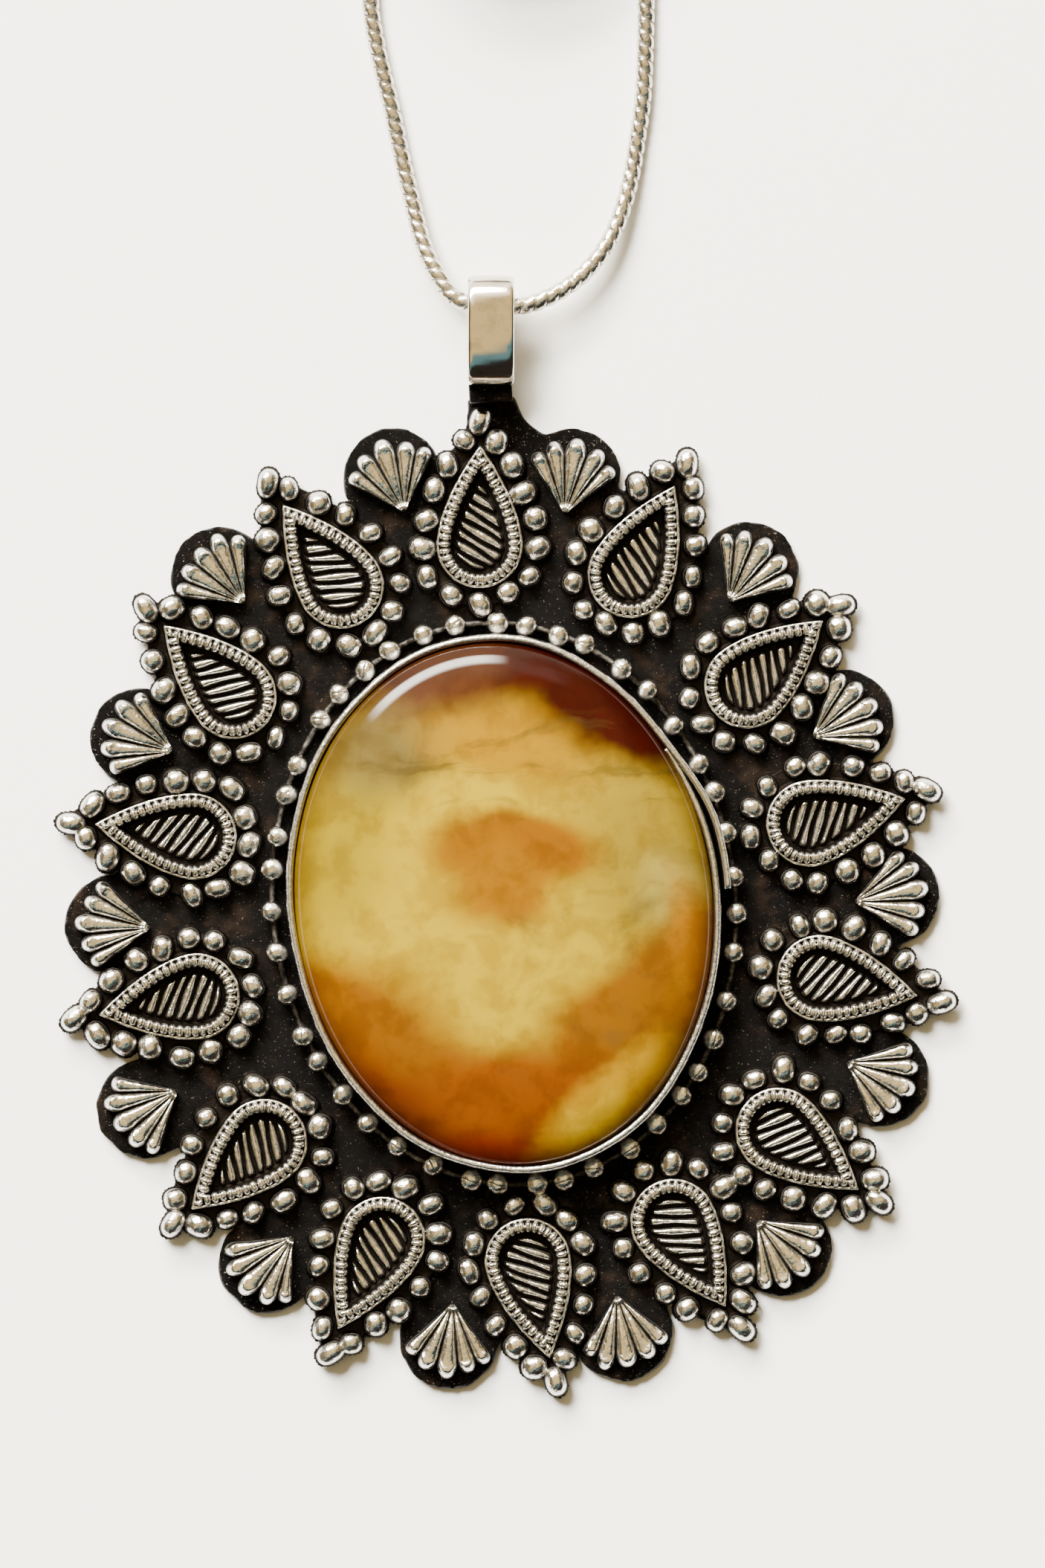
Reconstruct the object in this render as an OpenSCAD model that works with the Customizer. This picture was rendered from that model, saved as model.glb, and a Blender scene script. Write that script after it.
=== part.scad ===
// Pendant necklace: an oval cabochon in a plain bezel on a cut-out back plate, ringed by
// stamped teardrop petals and shell fans, hung from a bail on a snake chain with a clasp.
// The back of the plate lies on z = 0, its middle is at the origin, and the bail is at +Y.

/* [Stone and bezel] */
// Width of the bezel, outside
bezel_w = 29; // [27:0.1:30]
// Height of the bezel's oval, outside
bezel_h = 36.2; // [34:0.1:37]
// Thickness of the bezel strip
bezel_t = 0.45; // [0.3:0.05:0.6]
// Height of the bezel strip above the plate
bezel_rise = 3.2; // [2.5:0.1:4]
// Height of the stone's crown above the plate
stone_rise = 5.8; // [5:0.1:8]

/* [Plate and ornament] */
// Thickness of the back plate
plate_t = 0.8; // [0.6:0.1:1.2]
// Diameter of the round beads beside the bezel
bead_d = 1.5; // [1.2:0.1:1.7]
// Number of beads in the ring
bead_count = 43; // [36:1:45]
// Diameter of the granules around each petal
granule_d = 1.4; // [1.2:0.02:1.6]

/* [Bail and chain] */
// Width of the bail's band
bail_w = 3.1; // [2.4:0.1:3.4]
// Thickness of the bail's band
bail_t = 0.55; // [0.4:0.05:0.7]
// Diameter of the snake chain
chain_d = 1.2; // [0.8:0.1:1.2]
// Radius of the outermost turn of the put-away coil
coil_r = 8.1; // [8:0.1:8.4]

/* [Hidden] */
PETALS = ["petal_01", "petal_02", "petal_03", "petal_04", "petal_05", "petal_06", "petal_07",
          "petal_08", "petal_09", "petal_10", "petal_11", "petal_12", "petal_13", "petal_14"];
FANS = ["fan_01", "fan_02", "fan_03", "fan_04", "fan_05", "fan_06", "fan_07",
        "fan_08", "fan_09", "fan_10", "fan_11", "fan_12", "fan_13", "fan_14"];

silver = "#c9c4bc";
bright = "#e4e0d8";
oxide = "#2a2622";
agate = "#d99a35";
pitch_resin = "#4a3524";

// ---- ovals and the places of the motifs

function oval(a, b, n) = [for (i = [0:n - 1]) [a * cos(360 * i / n), b * sin(360 * i / n)]];

// the stone, its bezel and the bead ring stand a little off the plate's middle
stone_at = [-0.45, -0.1];
stone_turn = 4;

// each petal was set by hand, clockwise from the top: its middle and its turn
petal_at = [
    [-0.4, 25.9, -4], [10.4, 23, -30], [18.3, 14.6, -53], [22.2, 4.3, -79], [22.2, -6.9, -104],
    [18.4, -17.7, -130], [10.4, -23.8, -152], [-0.1, -26, -171], [-11, -23.7, 150],
    [-19, -16.2, 129], [-23.3, -5.2, 97], [-22.8, 6.1, 79], [-18.9, 16.4, 41], [-11, 23.5, 32]];
// each fan, clockwise from the one right of the top petal: its apex and its turn
fan_at = [
    [5.3, 25.7, -14], [15.9, 19.1, -38], [20.9, 9.7, -65], [23, -1.5, -84], [21.8, -12.2, -118],
    [15.1, -22.4, -140], [5.4, -26.8, -173], [-5.6, -26.6, 170], [-16, -21.5, 133],
    [-23.1, -11.2, 116], [-24.2, -0.2, 82], [-21.9, 11.5, 65], [-16.5, 21.1, 38], [-5.4, 26.5, 15]];
motif_count = len(petal_at);

module at_place(p) {
    translate([p[0], p[1]])
        rotate(p[2])
            children();
}

module at_stone() {
    translate(stone_at)
        rotate(stone_turn)
            children();
}

// ---- the pear outline of a petal: a half circle below, two bowed sides up to a point

pear_low = -1.9;
pear_bow = 1.7;

function pear_side(r, reach, s) = [r * (1 - pow(s, pear_bow)), pear_low + reach * s];
function pear(r, reach) = concat(
    [for (a = [180:15:360]) [r * cos(a), pear_low + r * sin(a)]],
    [for (k = [1:9]) pear_side(r, reach, k / 9)],
    [for (k = [8:-1:1]) let (p = pear_side(r, reach, k / 9)) [-p[0], p[1]]]);

rim_r = 2.9;
rim_reach = 6.7;
rim_t = 1.05;
granule_r = 3.9;
granule_reach = 8.6;
granules_a_side = 7;

// a granule's place, i steps along one side from the base's middle to the tip
function granule_at(i) = let (
    arc = PI * granule_r / 2,
    side = 1.11 * granule_reach,
    d = i * (arc + side) / (granules_a_side + 1),
    u = (d - arc) / side)
    d < arc
        ? [granule_r * sin(d / granule_r * 180 / PI),
           pear_low - granule_r * cos(d / granule_r * 180 / PI)]
        : pear_side(granule_r, granule_reach, u + 0.15 * u * (1 - u));

petal_sheet = 0.3;
rim_rise = 1.55;
hatch_rise = 1.1;
hatch_pitch = 0.75;
hatch_turn = -28;

module petal_hatch() {
    intersection() {
        linear_extrude(hatch_rise)
            polygon(pear(rim_r - rim_t + 0.1, rim_reach - 1.5));
        rotate([0, 0, hatch_turn])
            for (k = [-4:4])
                translate([-3, k * hatch_pitch - 0.2, petal_sheet / 2])
                    cube([6, 0.4, hatch_rise]);
    }
}

module granules() {
    lift = granule_d / 2 + 0.03;
    for (i = [0:granules_a_side + 1], side = i % (granules_a_side + 1) == 0 ? [1] : [-1, 1])
        translate([side * granule_at(i)[0], granule_at(i)[1], lift])
            sphere(d = granule_d, $fn = 32);
}

module petal(i) {
    color(silver)
        at_place(petal_at[i])
            translate([0, 0, plate_t]) {
                linear_extrude(petal_sheet)
                    polygon(pear(granule_r + 0.3, granule_reach + 0.3));
                linear_extrude(rim_rise)
                    difference() {
                        polygon(pear(rim_r, rim_reach));
                        polygon(pear(rim_r - rim_t, rim_reach - 1.8));
                    }
                petal_hatch();
                granules();
            }
}

// ---- shell fans: five ribs that widen from the apex to a round end

fan_ribs = 5;
fan_spread = 17.5;
fan_rib_l = 4.6;
fan_rib_r = 0.68;
fan_sheet = 0.35;

module fan_rib() {
    slope = 6;
    rotate([90 - slope, 0, 180]) {
        translate([0, 0, 0.5])
            cylinder(h = fan_rib_l - 0.5, r1 = 0.18, r2 = fan_rib_r, $fn = 32);
        translate([0, 0, fan_rib_l])
            sphere(r = fan_rib_r, $fn = 32);
    }
}

module fan(i) {
    half = fan_spread * (fan_ribs - 1) / 2 + 5;
    reach = fan_rib_l + 0.5;
    color(silver)
        at_place(fan_at[i])
            translate([0, 0, plate_t]) {
                linear_extrude(fan_sheet)
                    polygon(concat([[0, -0.3]],
                        [for (a = [-half:half / 6:half]) reach * [-sin(a), cos(a)]]));
                for (k = [0:fan_ribs - 1])
                    rotate([0, 0, fan_spread * (k - (fan_ribs - 1) / 2)])
                        translate([0, 0, 0.28])
                            fan_rib();
            }
}

// ---- plate, bead ring, bezel and stone

lobe_r = 3.35;
lobe_out = 2.5;
// the pointed lobe beside the top petal, which carries the bail's tab
tab_lobe = [[-1, 29], [4, 29], [4.4, 31], [3, 32.2], [2.35, 33.9], [-0.75, 33.9]];

module plate_outline() {
    union() {
        polygon(oval(24.6, 28.2, 72));
        polygon(tab_lobe);
        for (i = [0:motif_count - 1]) {
            at_place(petal_at[i])
                polygon(pear(granule_r + 0.45, granule_reach + 0.5));
            at_place(fan_at[i])
                translate([0, lobe_out])
                    circle(r = lobe_r, $fn = 48);
        }
    }
}

module back_plate() {
    color(oxide)
        linear_extrude(plate_t)
            plate_outline();
}

bead_gap = 0.35;
bead_a = bezel_w / 2 + bead_gap + bead_d / 2;
bead_b = bezel_h / 2 + bead_gap + bead_d / 2 - 0.2;
wire_w = 0.5;

module beaded_ring() {
    color(silver)
        at_stone()
            union() {
                translate([0, 0, plate_t])
                    linear_extrude(wire_w)
                        difference() {
                            polygon(oval(bead_a + wire_w / 2, bead_b + wire_w / 2, 86));
                            polygon(oval(bead_a - wire_w / 2, bead_b - wire_w / 2, 86));
                        }
                for (p = oval(bead_a, bead_b, bead_count))
                    translate([p[0], p[1], plate_t + bead_d / 2 + 0.02])
                        sphere(d = bead_d, $fn = 32);
            }
}

overlap_from = 4;
overlap_to = 32;
overlap_out = 0.3;

function overlap_edge(out, back) = [for (a = [overlap_from:4:overlap_to])
    let (k = out * (overlap_to - a) / (overlap_to - overlap_from) - back)
    [(bezel_w / 2 + k) * cos(a), (bezel_h / 2 + k) * sin(a)]];

function reversed(list) = [for (i = [len(list) - 1:-1:0]) list[i]];

module bezel_strip() {
    color(silver)
        at_stone()
            translate([0, 0, plate_t])
                linear_extrude(bezel_rise)
                    union() {
                        difference() {
                            polygon(oval(bezel_w / 2, bezel_h / 2, 96));
                            polygon(oval(bezel_w / 2 - bezel_t, bezel_h / 2 - bezel_t, 96));
                        }
                        polygon(concat(overlap_edge(overlap_out, 0),
                                       reversed(overlap_edge(0, bezel_t / 2))));
                    }
}

stone_gap = 0.06;
stone_a = bezel_w / 2 - bezel_t - stone_gap;
stone_b = bezel_h / 2 - bezel_t - stone_gap;
bed_t = 1.2;
girdle_rise = 1.6;

module stone_bed() {
    color(pitch_resin)
        at_stone()
            translate([0, 0, plate_t])
                linear_extrude(bed_t)
                    polygon(oval(stone_a, stone_b, 72));
}

// a closed solid through a list of rings that all have the same number of points
function ring_faces(rings, n) = [for (r = [0:rings - 2], i = [0:n - 1])
    [r * n + i, r * n + (i + 1) % n, (r + 1) * n + (i + 1) % n, (r + 1) * n + i]];
function cap_faces(rings, n) = [[for (i = [n - 1:-1:0]) i], [for (i = [0:n - 1]) (rings - 1) * n + i]];

module loft(rings) {
    n = len(rings[0]);
    polyhedron(points = [for (r = rings, p = r) p],
               faces = concat(ring_faces(len(rings), n), cap_faces(len(rings), n)));
}

dome_rings = 9;
dome_sides = 56;

function dome_shrink(k) = pow(cos(88 * k / dome_rings), 0.8);
function dome_height(k) = pow(sin(90 * k / dome_rings), 1.25);

module stone() {
    low = plate_t + bed_t;
    girdle = low + girdle_rise;
    crown = plate_t + stone_rise - girdle;
    color(agate)
        at_stone()
            loft(concat(
                [[for (p = oval(stone_a, stone_b, dome_sides)) [p[0], p[1], low]]],
                [for (k = [0:dome_rings]) let (s = dome_shrink(k))
                    [for (p = oval(stone_a, stone_b, dome_sides))
                        [p[0] * s, p[1] * s, girdle + crown * dome_height(k)]]]));
}

// ---- bail: a band bent into a tall loop, soldered to a tab on the plate

bail_x = 1.17;
bail_y = 38.2;
bail_turn = -3.8;
bail_tall = 7.3;
bail_deep = 4.4;
bail_low = 0.7;

module bail_frame() {
    translate([bail_x, bail_y, bail_low + bail_deep / 2])
        rotate([0, 0, bail_turn])
            children();
}

// the loop's side view, with full shoulders: a rounded oval, y across and z up
function loop_view(tall, deep) = [for (a = [0:10:350]) let (c = cos(a), s = sin(a))
    [tall / 2 * sign(c) * pow(abs(c), 0.8), deep / 2 * sign(s) * pow(abs(s), 0.8)]];

module bail() {
    color(bright)
        bail_frame()
            translate([-bail_w / 2, 0, 0])
                rotate([90, 0, 90])
                    linear_extrude(bail_w)
                        difference() {
                            polygon(loop_view(bail_tall, bail_deep));
                            polygon(loop_view(bail_tall - 2 * bail_t, bail_deep - 2 * bail_t));
                        }
}

tab_w = 2.9;
tab_from = 33.5;
tab_to = 35;
tab_rise = 2;

module bail_tab() {
    color(oxide)
        translate([bail_x - 0.3 - tab_w / 2, tab_from, plate_t])
            cube([tab_w, tab_to - tab_from, tab_rise]);
}

// ---- snake chain: its free route, and the coil that holds the rest of it

coil_x = 4;
coil_y = 71.5;
turn_pitch = 1.25;
coil_columns = 3;
coil_layers = 4;
lie = chain_d / 2;
bail_z = bail_low + bail_t + chain_d / 2 + 0.3;

function layer_z(k) = lie + k * turn_pitch;

// from the coil's left side, down the left strand, through the bail and up the right strand
free_route = [
    [coil_x - coil_r, coil_y, lie], [-4.4, 69, lie], [-5, 66.5, lie], [-5.4, 63.5, lie],
    [-5.5, 60.5, lie], [-5.2, 57.5, lie], [-4.6, 54, lie], [-4.1, 50.5, lie],
    [-3.6, 47.5, 0.8], [-3.2, 45.2, 1.1], [-2.7, 43.4, 1.5], [-2.1, 42.1, 1.8],
    [-1.4, 40.9, 2], [-0.5, 40.3, bail_z], [0.5, 40.15, bail_z], [1.7, 40, bail_z],
    [2.9, 39.8, bail_z], [3.8, 39.85, bail_z], [5, 40.2, 2.1], [6.3, 40.8, 2],
    [7.6, 41.7, 1.8], [8.8, 42.9, 1.6], [9.8, 44.4, 1.3], [10.6, 46.2, 1],
    [11.3, 48.4, 0.7], [11.8, 50.6, lie], [12.3, 53, lie], [12.7, 56.4, lie],
    [13, 60, lie], [13.1, 62.5, 0.8], [13, 65, 1.4], [12.8, 67.5, 2.3],
    [12.4, 69.5, 2.9], [coil_x + coil_r, coil_y, layer_z(2)]];

cap_l = 3.6;
cap_d = 1.9;
clasp_cap = [9.3, 79.8, 1.6];
ring_cap = [-8, 80.3, 1.05];

clasp_tail = [
    [coil_x, coil_y + coil_r, layer_z(1)], [6.8, 79.75, 1.8],
    [clasp_cap[0] + 1, clasp_cap[1], clasp_cap[2]]];

ring_tail = [
    [coil_x, coil_y + coil_r, layer_z(3)], [1.5, 79.65, 4.1], [-1, 79.8, 3.2],
    [-3.5, 80, 2.1], [-5.8, 80.2, 1.3], [ring_cap[0] - 1, ring_cap[1], ring_cap[2]]];

function unit(v) = v / norm(v);
function heading(route, i) =
    unit(route[min(i + 1, len(route) - 1)] - route[max(i - 1, 0)]);

// eight points around a place on the route, square to its heading
function hoop(p, along) = let (
    across = unit(cross([0, 0, 1], along)),
    up = cross(along, across))
    [for (k = [0:7]) p + chain_d / 2 * (across * cos(45 * k) + up * sin(45 * k))];

module tube(route) {
    loft([for (i = [0:len(route) - 1]) hoop(route[i], heading(route, i))]);
}

module snake_chain() {
    color(silver) {
        tube(free_route);
        tube(clasp_tail);
        tube(ring_tail);
    }
}

module chain_coil() {
    outer = coil_r + chain_d / 2;
    inner = coil_r - (coil_columns - 1) * turn_pitch - chain_d / 2;
    color(silver)
        translate([coil_x, coil_y, 0])
            rotate_extrude($fn = 72)
                translate([inner, 0])
                    square([outer - inner, layer_z(coil_layers - 1) + chain_d / 2]);
}

// ---- fittings at the chain's two ends

eye_r = 1.05;
eye_hole = 0.5;
eye_t = 0.9;
eye_out = 1;
jump_r = 1.3;
jump_wire = 0.28;
end_ring_r = 1.9;
end_ring_wire = 0.33;

// a sleeve over the chain's end with an eye beyond it, pointing along +X from its mouth;
// the eye's hole runs along Z
module end_cap() {
    difference() {
        union() {
            rotate([0, 90, 0])
                cylinder(h = cap_l, d = cap_d, $fn = 48);
            translate([cap_l + eye_out, 0, -eye_t / 2])
                cylinder(h = eye_t, r = eye_r, $fn = 48);
            translate([cap_l - 0.2, -0.35, -0.35])
                cube([0.6, 0.7, 0.7]);
        }
        translate([cap_l + eye_out, 0, -eye_t])
            cylinder(h = 2 * eye_t, r = eye_hole, $fn = 32);
        translate([-0.1, 0, 0])
            rotate([0, 90, 0])
                cylinder(h = 1.1, d = chain_d + 0.1, $fn = 32);
    }
}

module clasp_end_cap() {
    color(silver)
        translate(clasp_cap)
            end_cap();
}

module ring_end_cap() {
    color(silver)
        translate(ring_cap)
            rotate([90, 0, 180])
                end_cap();
}

module wire_ring(r, wire) {
    rotate_extrude($fn = 64)
        translate([r, 0])
            circle(r = wire, $fn = 32);
}

clasp_eye_x = clasp_cap[0] + cap_l + eye_out + 2 * jump_r;
end_ring_droop = 10;

module clasp_jump_ring() {
    color(bright)
        translate([clasp_eye_x - jump_r, clasp_cap[1], clasp_cap[2]])
            rotate([90, 0, 0])
                wire_ring(jump_r, jump_wire);
}

module end_ring() {
    color(bright)
        translate([ring_cap[0] - cap_l - eye_out, ring_cap[1], ring_cap[2]])
            rotate([0, -end_ring_droop, 0])
                translate([-end_ring_r, 0, 0])
                    wire_ring(end_ring_r, end_ring_wire);
}

// ---- lobster clasp: body with a hook, a sprung lever on a pin

clasp_t = 2.4;
hook_x = 6.2;
hook_out = 2.3;
hook_in = 1.35;
lever_t = 1;
lever_slot = 1.2;
pivot = [4.6, -1.15];
pin_r = 0.35;

module at_clasp() {
    translate([clasp_eye_x, clasp_cap[1], clasp_cap[2]])
        children();
}

module slab(t) {
    translate([0, 0, -t / 2])
        linear_extrude(t)
            children();
}

module clasp_body() {
    color(bright)
        at_clasp()
            difference() {
                union() {
                    slab(eye_t)
                        circle(r = eye_r, $fn = 48);
                    slab(clasp_t)
                        polygon([[0.85, -0.55], [2.2, -1.3], [3.6, -2.1], [4.9, -1.9],
                                 [5.2, 0], [4.9, 1.9], [3.6, 1.6], [2.2, 1.2], [0.85, 0.55]]);
                    slab(clasp_t)
                        translate([hook_x, 0])
                            circle(r = hook_out, $fn = 64);
                }
                slab(2 * clasp_t)
                    circle(r = eye_hole, $fn = 32);
                slab(2 * clasp_t)
                    translate([hook_x, 0])
                        circle(r = hook_in, $fn = 64);
                slab(2 * clasp_t)
                    polygon([[5.35, -0.6], [7.45, -0.6], [8.4, -1.2], [8.4, -3], [5.35, -3]]);
                slab(lever_slot)
                    polygon([[3.4, -0.3], [7.4, -0.3], [7.4, -3], [3.4, -3]]);
                slab(2 * clasp_t)
                    translate(pivot)
                        circle(r = pin_r + 0.02, $fn = 32);
                slab(lever_slot)
                    polygon([[2.2, -0.8], [3.5, -0.8], [3.5, 0.2], [2.2, 0.2]]);
            }
}

module clasp_lever() {
    color(silver)
        at_clasp()
            slab(lever_t)
                difference() {
                    union() {
                        translate(pivot)
                            circle(r = 0.72, $fn = 48);
                        polygon([[4.1, -1.2], [3.9, -2.8], [4.3, -3], [4.7, -2.9], [4.95, -1.5],
                                 [7.2, -1.4], [7.2, -0.85], [6.6, -0.75], [4.7, -0.7]]);
                    }
                    translate(pivot)
                        circle(r = pin_r + 0.05, $fn = 32);
                }
}

module clasp_pin() {
    color(silver)
        at_clasp()
            slab(clasp_t)
                translate(pivot)
                    circle(r = pin_r, $fn = 32);
}

// a leaf bent like a hairpin, which lies in the pocket behind the lever
module clasp_spring() {
    color(bright)
        at_clasp()
            slab(lever_t / 2)
                polygon([[2.3, -0.7], [3.3, -0.6], [3.3, -0.5], [2.45, -0.55],
                         [2.45, -0.05], [3.35, 0.05], [3.35, 0.15], [2.3, 0.05]]);
}

back_plate();
bail_tab();
bail();
bezel_strip();
stone_bed();
stone();
beaded_ring();
for (i = [0:motif_count - 1]) {
    petal(i);
    fan(i);
}
snake_chain();
chain_coil();
clasp_end_cap();
ring_end_cap();
clasp_jump_ring();
end_ring();
clasp_body();
clasp_lever();
clasp_pin();
clasp_spring();
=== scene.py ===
"""Pendant necklace: stamped silver round a banded agate, on a snake chain.

The scene is in metres and in the CAD frame; the numbers below are millimetres, as in the CAD.
The ornament is built as reliefs: a height field over a fine grid, closed below. Each worn
piece carries a "wear" value per vertex, 0 in a blackened recess and 1 on a polished crest,
which its material reads.
"""
import math

import bmesh
import bpy
import numpy as np
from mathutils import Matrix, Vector, noise


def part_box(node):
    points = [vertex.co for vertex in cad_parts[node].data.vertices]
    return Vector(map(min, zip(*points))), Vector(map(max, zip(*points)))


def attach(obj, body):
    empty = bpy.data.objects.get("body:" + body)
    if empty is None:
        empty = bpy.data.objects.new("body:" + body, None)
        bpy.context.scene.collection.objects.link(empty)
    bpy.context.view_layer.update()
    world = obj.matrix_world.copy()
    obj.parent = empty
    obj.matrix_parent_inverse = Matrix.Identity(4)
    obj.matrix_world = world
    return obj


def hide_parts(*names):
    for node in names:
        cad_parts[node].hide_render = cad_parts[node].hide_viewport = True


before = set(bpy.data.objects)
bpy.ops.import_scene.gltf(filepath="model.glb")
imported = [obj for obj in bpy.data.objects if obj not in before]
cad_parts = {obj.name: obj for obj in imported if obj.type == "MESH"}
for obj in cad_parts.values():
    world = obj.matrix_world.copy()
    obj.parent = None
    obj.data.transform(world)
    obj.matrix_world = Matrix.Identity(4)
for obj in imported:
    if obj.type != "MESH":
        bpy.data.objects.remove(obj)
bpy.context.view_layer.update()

MM = 0.001
SCENE = bpy.context.scene
SEED = 14
rng = np.random.default_rng(SEED)
noise.seed_set(SEED)  # unseeded, noise_vector gives another plate edge on each run

PLATE_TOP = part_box("back_plate")[1].z / MM
STONE_AT = np.array([-0.45, -0.1, 0.0])
STONE_TURN = math.radians(4)
BEZEL_A, BEZEL_B = 14.5, 18.1  # the strip's half width and half height, outside
BEZEL_T = 0.45

# ---------------------------------------------------------------- camera

VIEW_TALL = 105.45  # of the floor, from the frame's top to its bottom
CAMERA_AWAY = 520.0
CAMERA_OVER = (1.31, 7.83)
ROLL = 3.7  # degrees that the pendant leans to the left in the frame
SENSOR = 24.0


def add_camera():
    data = bpy.data.cameras.new("camera")
    camera = bpy.data.objects.new("camera", data)
    SCENE.collection.objects.link(camera)
    data.sensor_fit = "VERTICAL"
    data.sensor_height = SENSOR
    data.lens = SENSOR * CAMERA_AWAY / VIEW_TALL
    data.clip_start = 0.01
    camera.location = (CAMERA_OVER[0] * MM, CAMERA_OVER[1] * MM, CAMERA_AWAY * MM)
    camera.rotation_euler = (0, 0, -math.radians(ROLL))
    SCENE.camera = camera


add_camera()

# ---------------------------------------------------------------- mesh helpers


def unit(v):
    return v / np.linalg.norm(v)


def mesh_piece(name, points_mm, faces, wear=None):
    """A mesh object from points in millimetres, with a wear value for each point."""
    mesh = bpy.data.meshes.new(name)
    mesh.from_pydata((np.asarray(points_mm, float) * MM).tolist(), [], faces)
    mesh.update()
    mesh.polygons.foreach_set("use_smooth", [True] * len(mesh.polygons))
    if wear is not None:
        layer = mesh.attributes.new("wear", "FLOAT", "POINT")
        values = np.clip(np.asarray(wear, np.float32), 0, 1)
        layer.data.foreach_set("value", values)
    piece = bpy.data.objects.new(name, mesh)
    SCENE.collection.objects.link(piece)
    return piece


def finish_piece(piece, body, slot, material, *nodes):
    """Puts a piece on its body, in place of its CAD nodes, with its material."""
    piece.data.materials.clear()
    piece.data.materials.append(material)
    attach(piece, body)
    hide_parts(*nodes)


def remeshed(name, node, voxel_mm, smoothing):
    """A copy of a CAD node with an even skin and softened edges."""
    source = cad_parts[node]
    piece = bpy.data.objects.new(name, source.data.copy())
    SCENE.collection.objects.link(piece)
    piece.modifiers.new("remesh", "REMESH").mode = "VOXEL"
    piece.modifiers["remesh"].voxel_size = voxel_mm * MM
    soften = piece.modifiers.new("soften", "SMOOTH")
    soften.iterations = smoothing
    bpy.context.view_layer.update()
    shaped = piece.evaluated_get(bpy.context.evaluated_depsgraph_get())
    result = bpy.data.meshes.new_from_object(shaped)
    piece.modifiers.clear()
    piece.data = result
    result.polygons.foreach_set("use_smooth", [True] * len(result.polygons))
    return piece


def grid_faces(rows, columns, closed):
    """Quads between rows of points; closed joins the last column to the first."""
    span = columns if closed else columns - 1
    r, c = np.meshgrid(np.arange(rows - 1), np.arange(span), indexing="ij")
    a = r * columns + c
    b = r * columns + (c + 1) % columns
    return np.stack([a, b, b + columns, a + columns], -1).reshape(-1, 4).tolist()


def loft(rings, capped=True):
    """Points and faces of a closed skin through rings of equal length."""
    rings = np.asarray(rings, float)
    rows, columns = rings.shape[:2]
    faces = grid_faces(rows, columns, True)
    if capped:
        faces.append(list(range(columns))[::-1])
        faces.append([(rows - 1) * columns + k for k in range(columns)])
    return rings.reshape(-1, 3), faces


def smooth_step(low, high, x):
    """0 where x is below low, 1 above high, smooth between them; low may be the larger."""
    t = np.clip((x - low) / (high - low), 0, 1)
    return t * t * (3 - 2 * t)


# ---------------------------------------------------------------- materials


def add(tree, kind, inputs=None, **settings):
    """A node with its settings; an input is a value or another node's socket."""
    node = tree.nodes.new("ShaderNode" + kind)
    for key, value in settings.items():
        setattr(node, key, value)
    for key, value in (inputs or {}).items():
        if isinstance(value, bpy.types.NodeSocket):
            tree.links.new(value, node.inputs[key])
        else:
            node.inputs[key].default_value = value
    return node


def product(tree, a, b):
    return add(tree, "Math", {0: a, 1: b}, operation="MULTIPLY").outputs[0]


def scaled(tree, value, gain, base):
    """A value times a gain, plus a base."""
    return add(tree, "Math", {0: value, 1: gain, 2: base}, operation="MULTIPLY_ADD").outputs[0]


def vector(tree, operation, a, b):
    """A vector from two others, or from one and a number under SCALE."""
    second = "Scale" if operation == "SCALE" else 1
    return add(tree, "VectorMath", {0: a, second: b}, operation=operation).outputs[0]


def length_of(tree, a):
    return add(tree, "VectorMath", {0: a}, operation="LENGTH").outputs["Value"]


def dot(tree, a, b):
    return add(tree, "VectorMath", {0: a, 1: b}, operation="DOT_PRODUCT").outputs["Value"]


def swayed(tree, place, scale, detail, reach):
    """A place moved about by a smooth noise, at most about half the reach each way."""
    sway = add(tree, "TexNoise", {"Vector": place, "Scale": scale, "Detail": detail})
    centred = vector(tree, "SUBTRACT", sway.outputs["Color"], (0.5, 0.5, 0.5))
    return vector(tree, "ADD", place, vector(tree, "SCALE", centred, reach))


def mix(tree, factor, a, b):
    """A colour between a and b."""
    a, b = (c if isinstance(c, bpy.types.NodeSocket) else (*c, 1.0) for c in (a, b))
    node = add(tree, "Mix", {0: factor, 6: a, 7: b}, data_type="RGBA")
    return node.outputs[2]


def darker(tree, colour, gain):
    """A colour times a gain, a little redder as it darkens."""
    return vector(tree, "MULTIPLY", colour, (gain**0.8, gain, gain**1.2))


def step_node(tree, value, low, high):
    """The smooth_step of a node's value."""
    return add(
        tree, "MapRange", {0: value, 1: low, 2: high}, interpolation_type="SMOOTHSTEP"
    ).outputs[0]


def noise_node(tree, place, scale, detail, rough=0.5):
    return add(
        tree, "TexNoise", {"Vector": place, "Scale": scale, "Detail": detail, "Roughness": rough}
    ).outputs[0]


def new_material(name):
    """A material, its tree, and object coordinates in millimetres."""
    material = bpy.data.materials.new(name)
    material.use_nodes = True
    tree = material.node_tree
    tree.nodes.clear()
    place = vector(tree, "SCALE", add(tree, "TexCoord").outputs["Object"], 1 / MM)
    return material, tree, place


def bump(tree, height, strength, depth_mm):
    return add(
        tree, "Bump", {"Height": height, "Strength": strength, "Distance": depth_mm * MM}
    ).outputs[0]


def output(tree, inputs):
    shader = add(tree, "BsdfPrincipled", inputs)
    add(tree, "OutputMaterial", {0: shader.outputs[0]})


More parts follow.
